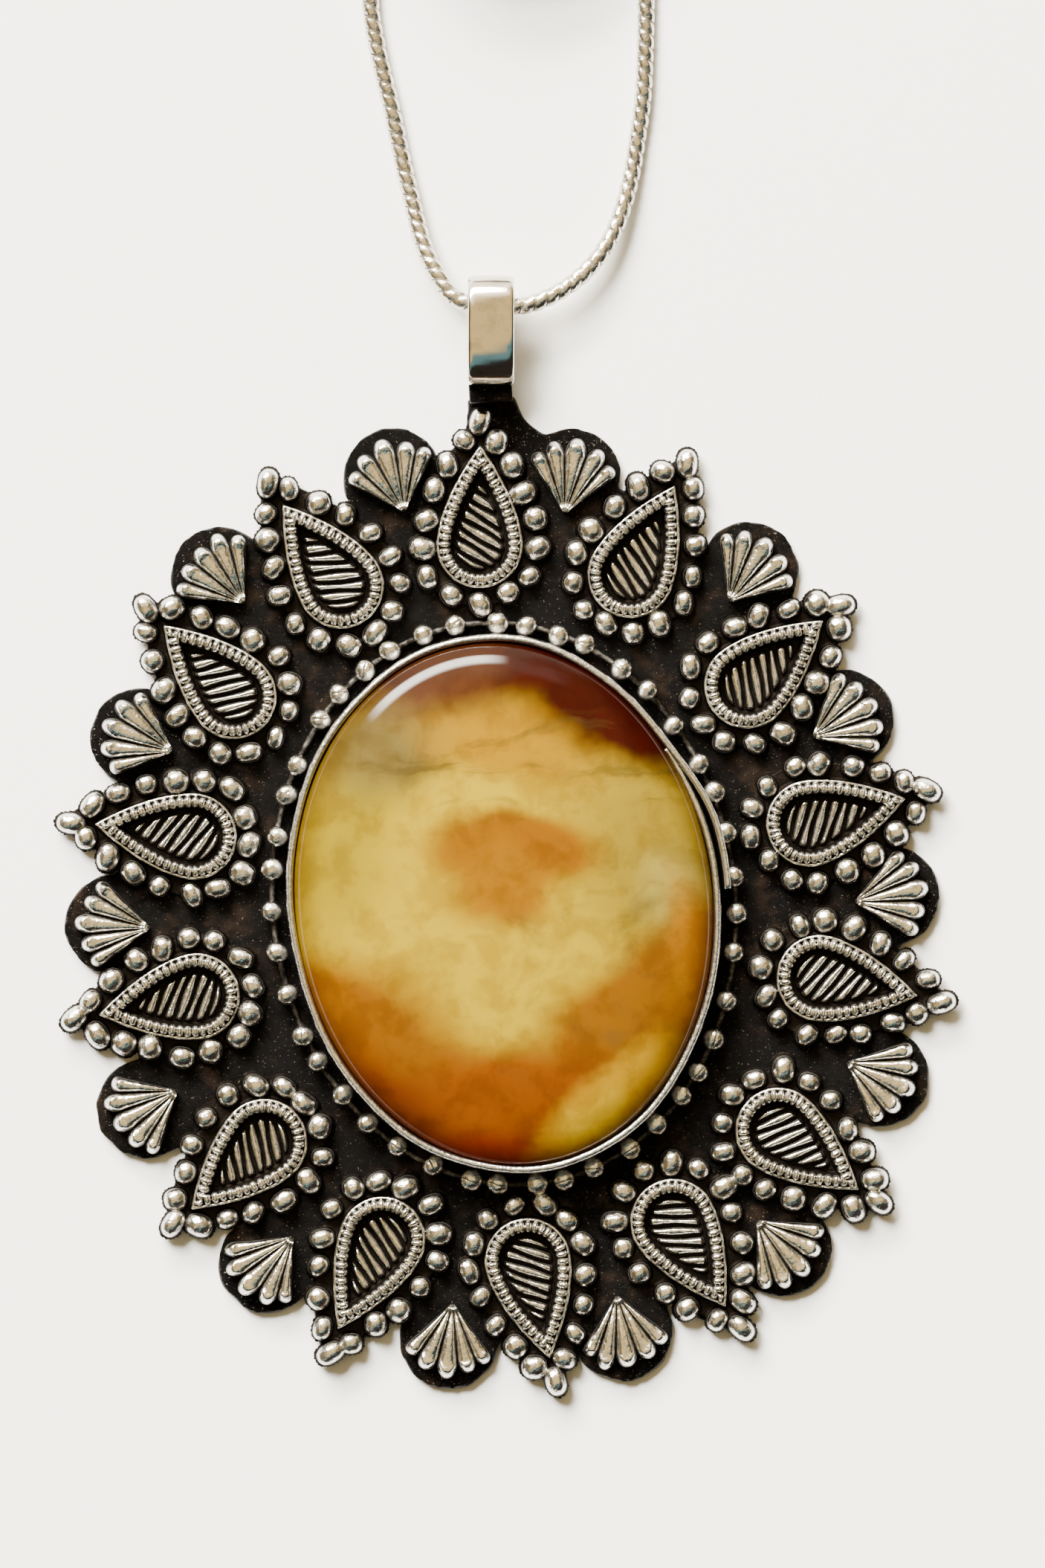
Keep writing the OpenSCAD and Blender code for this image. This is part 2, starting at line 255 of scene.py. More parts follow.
def patina_silver(name, bright, dark, shine, black_to=0.3, bright_from=0.72):
    """Silver that is polished where wear is high and blackened where it is low."""
    material, tree, place = new_material(name)
    wear = add(tree, "Attribute", attribute_name="wear").outputs["Fac"]
    smudge = noise_node(tree, place, 1.3, 4.0, 0.6)
    grime = noise_node(tree, place, 3.5, 3.0)
    # the smudges add 0.2 on average, which the step's ends allow for
    clean = step_node(tree, scaled(tree, smudge, 0.4, wear), black_to + 0.2, bright_from + 0.2)
    tint = mix(tree, step_node(tree, grime, 0.35, 0.65), bright, [0.8 * c for c in bright])
    colour = mix(tree, clean, dark, tint)
    rough = add(tree, "MapRange", {0: clean, 1: 0.0, 2: 1.0, 3: 0.55, 4: shine}).outputs[0]
    rough = scaled(tree, grime, 0.1, rough)
    dents = noise_node(tree, place, 2.6, 3.0, 0.55)
    output(tree, {
        "Base Color": colour,
        "Metallic": 1.0,
        "Roughness": rough,
        "Normal": bump(tree, dents, 0.5, 0.16),
    })
    return material


def blackened_plate():
    """Oxidised plate: brown-black, sandy, with bright grains."""
    material, tree, place = new_material("blackened_plate")
    wear = add(tree, "Attribute", attribute_name="wear").outputs["Fac"]
    cloud = noise_node(tree, place, 0.5, 5.0, 0.6)
    grain = noise_node(tree, place, 9.0, 3.0, 0.7)
    speck = step_node(tree, noise_node(tree, place, 7.0, 2.0, 0.8), 0.66, 0.74)
    black, brown = (0.001, 0.0008, 0.0007), (0.016, 0.0095, 0.006)
    colour = mix(tree, step_node(tree, cloud, 0.5, 0.74), black, brown)
    sparkle = product(tree, speck, scaled(tree, wear, 0.8, 0.5))
    colour = mix(tree, sparkle, colour, (0.36, 0.31, 0.25))
    rough = add(tree, "MapRange", {0: cloud, 1: 0.3, 2: 0.7, 3: 0.34, 4: 0.52}).outputs[0]
    output(tree, {
        "Base Color": colour,
        "Metallic": 0.65,
        "Specular IOR Level": 0.2,
        "Roughness": rough,
        "Normal": bump(tree, grain, 0.75, 0.16),
    })
    return material


def polished_metal(name, colour, rough):
    """Bright metal with fine scratches and faint tarnish."""
    material, tree, place = new_material(name)
    lines = noise_node(tree, vector(tree, "MULTIPLY", place, (9.0, 0.8, 3.0)), 2.0, 5.0, 0.7)
    tarnish = noise_node(tree, place, 0.9, 4.0, 0.6)
    tint = mix(tree, step_node(tree, tarnish, 0.45, 0.75), colour, [0.72 * c for c in colour])
    output(tree, {
        "Base Color": tint,
        "Metallic": 1.0,
        "Roughness": scaled(tree, lines, 0.14, rough - 0.05),
        "Normal": bump(tree, lines, 0.12, 0.03),
    })
    return material


def resin():
    """The brown bed that the stone lies on."""
    material, tree, place = new_material("bedding_resin")
    cloud = noise_node(tree, place, 1.5, 4.0)
    output(tree, {
        "Base Color": mix(tree, cloud, (0.09, 0.05, 0.03), (0.2, 0.13, 0.08)),
        "Roughness": scaled(tree, cloud, 0.3, 0.5),
        "Normal": bump(tree, cloud, 0.3, 0.1),
    })
    return material


AGATE_GROUND = (0.235, 0.16, 0.0004)
# each is (x, y, half width, half height, softness, turn) in millimetres and degrees, and a colour
AGATE_PATCHES = [
    ((-11, 7, 4, 9, 0.6, -15), (0.14, 0.098, 0.0015)),
    ((-6.5, 11.5, 6, 3, 0.6, 25), (0.07, 0.05, 0.012)),
    ((2, 10.6, 7, 2.6, 0.5, -14), (0.165, 0.084, 0.0001)),
    ((10, 3, 5.5, 7.5, 0.6, 10), (0.14, 0.095, 0.006)),
    ((11, 0, 2.4, 2.6, 0.7, 0), (0.17, 0.13, 0.02)),
    ((-1, 16.4, 11, 3.4, 0.4, 3), (0.034, 0.0105, 0.003)),
    ((7.5, 12.8, 8, 3.6, 0.35, -30), (0.017, 0.0013, 0.0006)),
    ((0, 3.6, 5.4, 2.5, 0.3, 0), (0.12, 0.046, 0.0001)),
    ((-0.4, 1, 3.4, 2.6, 0.45, 0), (0.135, 0.055, 0.0001)),
    ((2.6, 4, 2.4, 1.5, 0.5, -20), (0.12, 0.042, 0.0001)),
    ((-10.5, -10, 8.6, 6, 0.3, -38), (0.105, 0.036, 0.0002)),
    ((8.5, -8.6, 9.5, 4.6, 0.3, 38), (0.115, 0.042, 0.0002)),
    ((-0.5, -14.5, 9, 4.6, 0.35, 0), (0.11, 0.027, 0.0001)),
    # partly painted shade: the next two patches are the stone's red, darkened in bands along the
    # bezel at the bottom and bottom left
    ((-9.5, -13, 5, 3.2, 0.6, -45), (0.075, 0.015, 0.0002)),
    ((-1.5, -17.2, 8, 1.6, 0.6, -4), (0.105, 0.0115, 0.0002)),
    ((12.4, -6.5, 1.6, 6, 0.6, 8), (0.18, 0.07, 0.0005)),
    ((6, -13.8, 5.6, 2.3, 0.4, 38), (0.24, 0.13, 0.0002)),
    ((4.8, -14.8, 1.8, 1.1, 0.7, 20), (0.32, 0.21, 0.002)),
]


def agate():
    """Banded stone: honey and cream, brown at the top, orange below, with painted shade in a band
    round its edge, along the bezel.
    """
    material, tree, place = new_material("agate")
    bent = swayed(tree, place, 0.2, 4.0, 3.4)

    def patch(x, y, wide, tall, soft, turn):
        """1 inside an oval patch round (x, y), fading over its edge."""
        off = vector(tree, "SUBTRACT", bent, (x, y, 0))
        spun = add(
            tree, "VectorRotate", {0: off, "Angle": -math.radians(turn)}, rotation_type="Z_AXIS"
        ).outputs[0]
        far = length_of(tree, vector(tree, "MULTIPLY", spun, (1 / wide, 1 / tall, 0)))
        return step_node(tree, far, 1 + soft, 1 - soft)

    def streaks(stretch, scale, low, high):
        """Stretched noise, 0 below low and 1 above high."""
        drawn = vector(tree, "MULTIPLY", bent, stretch)
        return step_node(tree, noise_node(tree, drawn, scale, 5.0, 0.62), low, high)

    colour = AGATE_GROUND
    for spot, paint in AGATE_PATCHES:
        colour = mix(tree, patch(*spot), colour, paint)
    wisps = product(tree, streaks((0.13, 1, 0), 0.7, 0.52, 0.68), patch(2, 8.6, 13, 3.4, 0.5, -10))
    colour = mix(tree, product(tree, wisps, 0.6), colour, (0.036, 0.024, 0.006))
    smoke = product(tree, streaks((0.5, 0.8, 0), 0.35, 0.5, 0.72), patch(5, -4, 11, 7, 0.5, 20))
    colour = mix(tree, product(tree, smoke, 0.5), colour, (0.055, 0.034, 0.008))
    cloud = noise_node(tree, bent, 0.45, 6.0, 0.6)
    colour = mix(tree, step_node(tree, cloud, 0.58, 0.36), colour, darker(tree, colour, 0.72))
    # painted shade: the stone's colour darkened in a band along the inside of the bezel
    off = vector(tree, "SUBTRACT", place, tuple(STONE_AT))
    bezel_shade_inset = 0.5  # millimetres from the strip's outside
    oval = (1 / (BEZEL_A - bezel_shade_inset), 1 / (BEZEL_B - bezel_shade_inset), 0)
    rim = length_of(tree, vector(tree, "MULTIPLY", off, oval))
    colour = mix(tree, step_node(tree, rim, 0.84, 1.02), colour, darker(tree, colour, 0.35))
    output(tree, {
        "Base Color": colour,
        "Roughness": 0.04,
        "IOR": 1.54,
        "Specular IOR Level": 0.17,
    })
    return material


ORNAMENT = patina_silver("ornament_silver", (0.94, 0.92, 0.88), (0.016, 0.013, 0.011), 0.15)
BEZEL = patina_silver("bezel_silver", (0.90, 0.89, 0.88), (0.02, 0.017, 0.015), 0.2)
CHAIN = patina_silver("chain_silver", (0.86, 0.81, 0.72), (0.05, 0.04, 0.03), 0.2, 0.2, 0.7)
BAIL = polished_metal("polished_silver", (0.84, 0.79, 0.72), 0.09)
FITTING = polished_metal("fitting_silver", (0.80, 0.77, 0.72), 0.12)
PLATE = blackened_plate()
RESIN = resin()
AGATE = agate()

# ---------------------------------------------------------------- fittings

# each with the body that it rides on
ROUNDED = {
    "clasp_end_cap": "chain",
    "ring_end_cap": "chain",
    "clasp_body": "clasp",
    "clasp_lever": "lever",
}
PLAIN = ("clasp_jump_ring", "end_ring", "clasp_pin", "clasp_spring")


def rounded(node, body):
    """A CAD fitting with its sharp edges worn round."""
    piece = remeshed(node + "_rounded", node, 0.06, 6)
    finish_piece(piece, body, "fitting_silver", FITTING, node)
    return piece


def coated(node, material):
    """A CAD node as it is, under one of the materials."""
    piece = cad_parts[node]
    piece.data.materials.clear()
    piece.data.materials.append(material)
    return piece


FITTINGS = [rounded(node, body) for node, body in ROUNDED.items()]
FITTINGS += [coated(node, FITTING) for node in PLAIN]
coated("stone_bed", RESIN)

# ---------------------------------------------------------------- snake chain

CHAIN_D = 1.2
COIL_X, COIL_Y, COIL_R = 4.0, 71.5, 8.1
TURN_PITCH = 1.25
LIE = CHAIN_D / 2  # the centreline's height where the chain lies on the floor
BAIL_Z = 2.15
TURNS = 4.25  # of each strand, half of them inwards and half outwards a layer higher
POINTS_A_TURN = 16

# from the coil's left side, down the left strand, through the bail and up the right strand
FREE_ROUTE = [
    (-4.1, 71.5, 0.6), (-4.4, 69, 0.6), (-5, 66.5, 0.6), (-5.4, 63.5, 0.6),
    (-5.5, 60.5, 0.6), (-5.2, 57.5, 0.6), (-4.6, 54, 0.6), (-4.1, 50.5, 0.6),
    (-3.6, 47.5, 0.8), (-3.2, 45.2, 1.1), (-2.7, 43.4, 1.5), (-2.1, 42.1, 1.8),
    (-1.4, 40.9, 2), (-0.5, 40.3, BAIL_Z), (0.5, 40.15, BAIL_Z), (1.7, 40, BAIL_Z),
    (2.9, 39.8, BAIL_Z), (3.8, 39.85, BAIL_Z), (5, 40.2, 2.1), (6.3, 40.8, 2),
    (7.6, 41.7, 1.8), (8.8, 42.9, 1.6), (9.8, 44.4, 1.3), (10.6, 46.2, 1),
    (11.3, 48.4, 0.7), (11.8, 50.6, 0.6), (12.3, 53, 0.6), (12.7, 56.4, 0.6),
    (13, 60, 0.6), (13.1, 62.5, 0.8), (13, 65, 1.4), (12.8, 67.5, 2.3),
    (12.4, 69.5, 2.9), (12.1, 71.5, 3.1)]
CLASP_TAIL = [(6.8, 79.75, 1.8), (10.1, 79.8, 1.6)]
RING_TAIL = [
    (1.5, 79.65, 4.1), (-1, 79.8, 3.2), (-3.5, 80, 2.1), (-5.8, 80.2, 1.3), (-8.8, 80.3, 1.05)]


def coil_turns(start, way, layer):
    """One strand's turns: inwards in one layer, then outwards in the layer above."""
    points = []
    count = round(TURNS * POINTS_A_TURN)
    for i in range(count + 1):
        f = i / count
        angle = math.radians(start) + way * 2 * math.pi * TURNS * f
        r = COIL_R - TURN_PITCH * TURNS / 2 * (1 - abs(2 * f - 1))
        climb = min(max((f - 0.5) / 0.06 + 0.5, 0), 1)  # to the next layer, at the middle
        z = LIE + (layer + climb) * TURN_PITCH
        points.append((COIL_X + r * math.cos(angle), COIL_Y + r * math.sin(angle), z))
    return points


def smooth_route(points, step):
    """The points of one smooth curve through a route, a step apart."""
    p = np.asarray(points, float)
    gaps = np.linalg.norm(np.diff(p, axis=0), axis=1)
    at = np.concatenate([[0], np.cumsum(gaps)])
    slope = np.gradient(p, at, axis=0)
    t = np.linspace(0, at[-1], max(2, round(at[-1] / step)) * 4)
    k = np.clip(np.searchsorted(at, t, side="right") - 1, 0, len(gaps) - 1)
    u = ((t - at[k]) / gaps[k])[:, None]
    h = gaps[k][:, None]
    curve = (
        (2 * u**3 - 3 * u**2 + 1) * p[k] + (u**3 - 2 * u**2 + u) * h * slope[k]
        + (3 * u**2 - 2 * u**3) * p[k + 1] + (u**3 - u**2) * h * slope[k + 1])
    run = np.concatenate([[0], np.cumsum(np.linalg.norm(np.diff(curve, axis=0), axis=1))])
    even = np.linspace(0, run[-1], round(run[-1] / step) + 1)
    return np.stack([np.interp(even, run, curve[:, a]) for a in range(3)], 1), even


LINK_PITCH = 0.88
LINK_SLANT = 0.6  # along the chain, for each millimetre across it
CHAIN_SIDES = 16
CHAIN_STEP = 0.088


def snake_chain():
    """One long skin: both strands of the coil, the free loop and the two tails, ribbed by links."""
    left = coil_turns(180, -1, 0)[::-1]
    right = coil_turns(0, 1, 2)
    route = CLASP_TAIL[::-1] + left + FREE_ROUTE[1:-1] + right + RING_TAIL
    line, run = smooth_route(route, CHAIN_STEP)
    along = np.gradient(line, axis=0)
    along /= np.linalg.norm(along, axis=1)[:, None]
    right_side = np.cross(along, (0, 0, 1))
    right_side /= np.linalg.norm(right_side, axis=1)[:, None]
    up = np.cross(right_side, along)
    angle = 2 * math.pi * np.arange(CHAIN_SIDES) / CHAIN_SIDES
    across = CHAIN_D / 2 * np.cos(angle)[None, :]
    phase = ((run[:, None] + LINK_SLANT * across) / LINK_PITCH) % 1.0
    swell = (1 - np.abs(2 * phase - 1) ** 2.6) ** 0.7
    radius = CHAIN_D / 2 * (0.8 + 0.2 * swell)
    points = (
        line[:, None, :]
        + (radius * np.cos(angle))[..., None] * right_side[:, None, :]
        + (radius * np.sin(angle))[..., None] * up[:, None, :])
    skin, faces = loft(points)
    piece = mesh_piece("snake_chain_links", skin, faces, (0.15 + 0.85 * swell).ravel())
    finish_piece(piece, "chain", "chain_silver", CHAIN, "snake_chain", "chain_coil")


snake_chain()

# ---------------------------------------------------------------- reliefs

GRID = 0.08  # a petal's cell
UNDER = -0.12  # millimetres, where a relief ends inside the plate

# the middle of each petal and its turn, clockwise from the top, as in the CAD
PETAL_AT = [
    (-0.4, 25.9, -4), (10.4, 23, -30), (18.3, 14.6, -53), (22.2, 4.3, -79), (22.2, -6.9, -104),
    (18.4, -17.7, -130), (10.4, -23.8, -152), (-0.1, -26, -171), (-11, -23.7, 150),
    (-19, -16.2, 129), (-23.3, -5.2, 97), (-22.8, 6.1, 79), (-18.9, 16.4, 41), (-11, 23.5, 32)]
# each fan's apex and its turn, clockwise from the one right of the top petal
FAN_AT = [
    (5.3, 25.7, -14), (15.9, 19.1, -38), (20.9, 9.7, -65), (23, -1.5, -84), (21.8, -12.2, -118),
    (15.1, -22.4, -140), (5.4, -26.8, -173), (-5.6, -26.6, 170), (-16, -21.5, 133),
    (-23.1, -11.2, 116), (-24.2, -0.2, 82), (-21.9, 11.5, 65), (-16.5, 21.1, 38), (-5.4, 26.5, 15)]


def blur(field, reach):
    """The mean over a square of the field, taken twice, in cells."""
    size = 2 * reach + 1
    for _ in range(2):
        for axis in (0, 1):
            margin = [(0, 0), (0, 0)]
            margin[axis] = (reach + 1, reach)
            total = np.cumsum(np.pad(field, margin, "edge"), axis)
            high = np.take(total, range(size, total.shape[axis]), axis)
            low = np.take(total, range(0, total.shape[axis] - size), axis)
            field = (high - low) / size
    return field


def roughness_field(shape, reach):
    """Smooth random heights of about -1 to 1."""
    field = blur(rng.standard_normal(shape), reach)
    return field / (2 * field.std())


def relief(name, x, y, height, inside, place, wear):
    """A closed piece under a height field: x, y, height in millimetres above the plate."""
    cell = inside[:-1, :-1] & inside[1:, :-1] & inside[1:, 1:] & inside[:-1, 1:]
    rows, columns = np.nonzero(cell)
    wide = x.shape[1]
    corner = rows * wide + columns
    quads = np.stack([corner, corner + 1, corner + wide + 1, corner + wide], 1)
    used, flat = np.unique(quads, return_inverse=True)
    quads = flat.reshape(-1, 4)
    ends = np.concatenate([quads[:, [k, (k + 1) % 4]] for k in range(4)])
    seen = {(a, b) for a, b in ends.tolist()}
    edge = [(a, b) for a, b in seen if (b, a) not in seen]
    rim = sorted({a for pair in edge for a in pair})
    low = {a: len(used) + k for k, a in enumerate(rim)}
    walls = [(b, a, low[a], low[b]) for a, b in sorted(edge)]
    px, py = x.ravel()[used], y.ravel()[used]
    pz = np.concatenate([height.ravel()[used], np.full(len(rim), UNDER)])
    px, py = np.concatenate([px, px[rim]]), np.concatenate([py, py[rim]])
    c, s = math.cos(math.radians(place[2])), math.sin(math.radians(place[2]))
    points = np.stack([place[0] + c * px - s * py, place[1] + s * px + c * py, PLATE_TOP + pz], 1)
    shade = np.concatenate([wear.ravel()[used], np.zeros(len(rim))])
    piece = mesh_piece(name, points, quads.tolist() + walls, shade)
    form = bmesh.new()
    form.from_mesh(piece.data)
    bmesh.ops.holes_fill(form, edges=[e for e in form.edges if e.is_boundary])
    form.to_mesh(piece.data)
    form.free()
    return piece


def grid(x_from, x_to, y_from, y_to):
    """The x and y of every point of a square grid."""
    xs = np.arange(x_from, x_to + GRID / 2, GRID)
    ys = np.arange(y_from, y_to + GRID / 2, GRID)
    return np.meshgrid(xs, ys)


def crest(height, reach):
    """How far each point stands above its surroundings."""
    return height - blur(height, reach)


# ---------------------------------------------------------------- petals

# a pear outline is half a circle below PEAR_LOW, and two bowed sides that meet at the top
PEAR_LOW = -1.9
PEAR_BOW = 1.7
RIM_R, RIM_REACH = 2.9, 6.7
GRANULE_R, GRANULE_REACH = 3.9, 8.6  # the pear that the granules stand on
GRANULES_A_SIDE = 7
GRANULE = 0.85
GRANULE_POWER = 2.3  # of its outline, 2 being an oval and more being squarer
BAND_AT, BAND_HALF = 0.58, 0.38  # the milled band's middle, in from the outline, and half width
HATCH_PITCH = 0.66
HATCH_TURN = -31.0
NOTCH_PITCH = 0.56
# heights of the sheet, the rim on it, the wire and the milling on the rim, and the hollow's ribs
SHEET_H, RIM_H, WIRE_H, PILLOW_H, RIB_H = 0.16, 0.62, 0.16, 0.5, 0.52


def pear_side(r, reach, s):
    """A place on the right side, s being 0 at the widest and 1 at the tip."""
    return r * (1 - s**PEAR_BOW), PEAR_LOW + reach * s


def pear_line(r, reach, count):
    """Points round the pear outline from the middle of its base, a list of (x, y)."""
    base = np.radians(np.linspace(-90, 0, count))
    right = [(r * math.cos(a), PEAR_LOW + r * math.sin(a)) for a in base]
    right += [pear_side(r, reach, s) for s in np.linspace(0, 1, 2 * count)[1:]]
    right = np.array(right)
    return np.concatenate([right, (right * (-1, 1))[::-1][1:-1]])


def pear_inside(x, y, r, reach):
    s = np.clip((y - PEAR_LOW) / reach, 0, 1)
    low = np.sqrt(np.clip(r**2 - (y - PEAR_LOW) ** 2, 0, None))
    half = np.where(y < PEAR_LOW, low, r * (1 - s**PEAR_BOW))
    return (np.abs(x) < half) & (y > PEAR_LOW - r) & (y < PEAR_LOW + reach)


def pear_depth(x, y, r, reach):
    """How far inside the outline each point is, and how far round it."""
    line = pear_line(r, reach, 80)
    run = np.cumsum(np.linalg.norm(np.diff(line, axis=0, prepend=line[:1]), axis=1))
    gap = np.full(x.shape, 1e9)
    where = np.zeros(x.shape)
    for (lx, ly), at in zip(line, run):
        away = np.hypot(x - lx, y - ly)
        nearer = away < gap
        gap = np.where(nearer, away, gap)
        where = np.where(nearer, at, where)
    return np.where(pear_inside(x, y, r, reach), gap, -gap), where


def granule_place(i):
    """The i-th granule's place, counted along one side from the base to the tip."""
    arc = math.pi * GRANULE_R / 2
    side = 1.11 * GRANULE_REACH
    run = i * (arc + side) / (GRANULES_A_SIDE + 1)
    if run < arc:
        a = run / GRANULE_R
        return GRANULE_R * math.sin(a), PEAR_LOW - GRANULE_R * math.cos(a)
    u = (run - arc) / side
    return pear_side(GRANULE_R, GRANULE_REACH, min(u + 0.15 * u * (1 - u), 1))


PETAL_X, PETAL_Y = grid(-5.4, 5.4, -7.2, 8.6)
RIM_DEPTH, RIM_RUN = pear_depth(PETAL_X, PETAL_Y, RIM_R, RIM_REACH)
SHEET_INSIDE = pear_inside(PETAL_X, PETAL_Y, GRANULE_R + 0.2, GRANULE_REACH + 0.2)


def petal_core():
    """Height and wear of the rim and the hatched hollow, which one die gives every petal."""
    d = RIM_DEPTH
    rim = smooth_step(-0.12, 0.04, d) * (1 - smooth_step(0.86, 1.14, d))
    wire = np.exp(-(((d - 0.1) / 0.09) ** 2))
    notch = np.abs(2 * ((RIM_RUN / NOTCH_PITCH) % 1.0) - 1)
    across = np.abs(d - BAND_AT) / BAND_HALF
    pillow = np.clip(1 - across**4 - notch**1.8, 0, 1) ** 0.5
    height = SHEET_H + RIM_H * rim + WIRE_H * wire + PILLOW_H * pillow
    turn = math.radians(HATCH_TURN)
    t = -PETAL_X * math.sin(turn) + PETAL_Y * math.cos(turn)
    t = t + 0.06 * np.sin(1.7 * PETAL_X + 2.3 * np.round(t / HATCH_PITCH))
    off = np.abs(2 * ((t / HATCH_PITCH) % 1.0) - 1) / 0.62
    rib = np.clip(1 - off**2.2, 0, 1) ** 0.5 * smooth_step(1.16, 1.5, d)
    height += RIB_H * rib
    wear = 1.05 * pillow**1.1 + 0.75 * wire + 0.95 * rib**0.7
    return height, wear


PETAL_CORE, PETAL_CORE_WEAR = petal_core()


def granule(x, y, at, size, stretch, turn, lift):
    """A lump's height and how near its top each point is; its foot spreads into the sheet."""
    c, s = math.cos(turn), math.sin(turn)
    u = (c * (x - at[0]) + s * (y - at[1])) / stretch
    v = (-s * (x - at[0]) + c * (y - at[1])) * stretch
    far = (np.abs(u) ** GRANULE_POWER + np.abs(v) ** GRANULE_POWER) ** (1 / GRANULE_POWER) / size
    top = np.sqrt(np.clip(1 - far**2, 0, 1))
    foot = 0.3 * smooth_step(1.3, 0.95, far)
    return np.maximum(lift * smooth_step(1.06, 0.9, far) + size * top, foot), top, far < 1.3


def petal(i):
    """The die's core inside a row of granules, no two alike."""
    x, y = PETAL_X, PETAL_Y
    height = PETAL_CORE.copy()
    wear = PETAL_CORE_WEAR.copy()
    inside = SHEET_INSIDE.copy()
    last = GRANULES_A_SIDE + 1
    for k in range(last + 1):
        for side in (1,) if k in (0, last) else (-1, 1):
            gx, gy = granule_place(k)
            shift = rng.normal(0, 0.1, 2)
            size = GRANULE * rng.uniform(0.84, 1.06)
            stretch = rng.uniform(0.86, 1.16)
            turn = rng.uniform(0, math.pi)
            if k == last:  # the tip's granule is long along the petal and sits back a little
                size, stretch, turn = 0.86, 1.2, math.pi / 2 + rng.normal(0, 0.5)
                shift = rng.normal(0, 0.15, 2) - (0, 0.3)
            at = (side * gx + shift[0], gy + shift[1])
            dome, top, on = granule(x, y, at, size, stretch, turn, rng.uniform(0.3, 0.5))
            outside = RIM_DEPTH < -0.05
            height = np.where(on & outside, np.maximum(height, dome), height)
            wear = np.where(on & outside, np.maximum(wear, 1.1 * top**0.8), wear)
            inside |= on & (dome > 0.05)
    warp = roughness_field(x.shape, 6)
    fine = roughness_field(x.shape, 2)
    height = height + 0.05 * warp + 0.012 * fine
    wear = wear + 0.5 * crest(height, 4) + 0.08 * warp
    node = f"petal_{i + 1:02d}"
    piece = relief(node + "_relief", x, y, height, inside, PETAL_AT[i], wear)
    finish_piece(piece, "pendant", "ornament_silver", ORNAMENT, node)


# ---------------------------------------------------------------- fans

RIB_WIDTHS = np.array([0.85, 1.0, 1.1, 1.0, 0.85])
RIB_LENGTHS = np.array([0.93, 1.0, 1.02, 1.0, 0.93])
RIB_COLUMNS, RIB_ROWS = 24, 56
FAN_SPREAD = 18.0  # degrees a rib
FAN_REACH = 5.0
FAN_HUB = 0.12


def fan(i):
    """Five smooth ribs from an apex, round across, with thin grooves and rounded ends."""
    count = len(RIB_WIDTHS)
    widths = np.radians(FAN_SPREAD) * RIB_WIDTHS * rng.uniform(0.93, 1.06, count)
    edges = np.concatenate([[0], np.cumsum(widths)]) - widths.sum() / 2
    lengths = FAN_REACH * RIB_LENGTHS * rng.uniform(0.96, 1.03, count)
    bearings = np.linspace(edges[0], edges[-1], RIB_COLUMNS * count + 1)
    bearing, part = np.meshgrid(bearings, np.linspace(0, 1, RIB_ROWS))
    rib = np.clip(np.searchsorted(edges, bearing, side="right") - 1, 0, count - 1)
    off = np.abs(2 * (bearing - edges[rib]) / widths[rib] - 1)
    groove_end = 0.84 * FAN_REACH
    end = groove_end + (lengths[rib] - groove_end) * (1 - off**2.4)
    reach = FAN_HUB + (end - FAN_HUB) * part
    grooved = smooth_step(0.35, 0.9, reach)
    belly = 1 - grooved * (1 - np.clip(1 - off**2.8, 0, 1) ** 0.5)
    body = 0.3 + 0.7 * np.sin(math.pi / 2 * np.clip(part / 0.62, 0, 1))
    nail = np.clip(1 - np.clip((part - 0.84) / 0.16, 0, 1) ** 2.4, 0, 1) ** 0.5
    lip = 0.1 * np.exp(-(((part - 0.88) / 0.05) ** 2))
    knob = 0.25 * np.exp(-(((reach - 0.4) / 0.2) ** 2))
    warp = roughness_field(reach.shape, 6)
    height = 0.14 + (body + lip) * nail * (0.15 + 0.85 * belly) + knob + 0.03 * warp * nail
    wear = (1.2 * belly - 0.15) * (0.2 + 0.8 * nail) + 0.06 * warp
    node = f"fan_{i + 1:02d}"
    x, y = reach * np.sin(bearing), reach * np.cos(bearing)
    piece = relief(node + "_relief", x, y, height, np.full(x.shape, True), FAN_AT[i], wear)
    finish_piece(piece, "pendant", "ornament_silver", ORNAMENT, node)


for number in range(len(PETAL_AT)):
    petal(number)
for number in range(len(FAN_AT)):
    fan(number)

# ---------------------------------------------------------------- plate


def points_of(piece):
    """The piece's points in millimetres, one a row."""
    co = np.zeros(len(piece.data.vertices) * 3)
    piece.data.vertices.foreach_get("co", co)
    return co.reshape(-1, 3) / MM


def set_points(piece, points_mm, wear):
    """Moves the piece's points and gives each its wear."""
    piece.data.vertices.foreach_set("co", (points_mm * MM).ravel())
    layer = piece.data.attributes.new("wear", "FLOAT", "POINT")
    layer.data.foreach_set("value", np.clip(wear, 0, 1).astype(np.float32))
    piece.data.update()


def back_plate():
    """The CAD plate with a hand-cut edge and a sandy top, which sparkles outside the motifs."""
    piece = remeshed("back_plate_sandy", "back_plate", 0.2, 3)
    points = points_of(piece)
    sway = np.array([noise.noise_vector(Vector(p) * 0.8) for p in points])
    sand = np.array([noise.noise(Vector(p) * 4.5) for p in points])
    top = smooth_step(0.3, 0.6, points[:, 2])
    points[:, :2] += 0.13 * sway[:, :2]
    points[:, 2] += top * (0.05 * sand + 0.03 * sway[:, 2])
    outward = np.hypot(points[:, 0] / 27, points[:, 1] / 30)
    set_points(piece, points, smooth_step(0.97, 1.04, outward))
    finish_piece(piece, "pendant", "blackened_plate", PLATE, "back_plate")


def bail_tab():
    """The CAD tab, a little uneven."""
    piece = remeshed("bail_tab_strip", "bail_tab", 0.1, 4)
    points = points_of(piece)
    points[:, 2] += 0.05 * np.array([noise.noise(Vector(p) * 1.5) for p in points])
    set_points(piece, points, np.full(len(points), 0.2))
    finish_piece(piece, "pendant", "blackened_plate", PLATE, "bail_tab")


back_plate()
bail_tab()

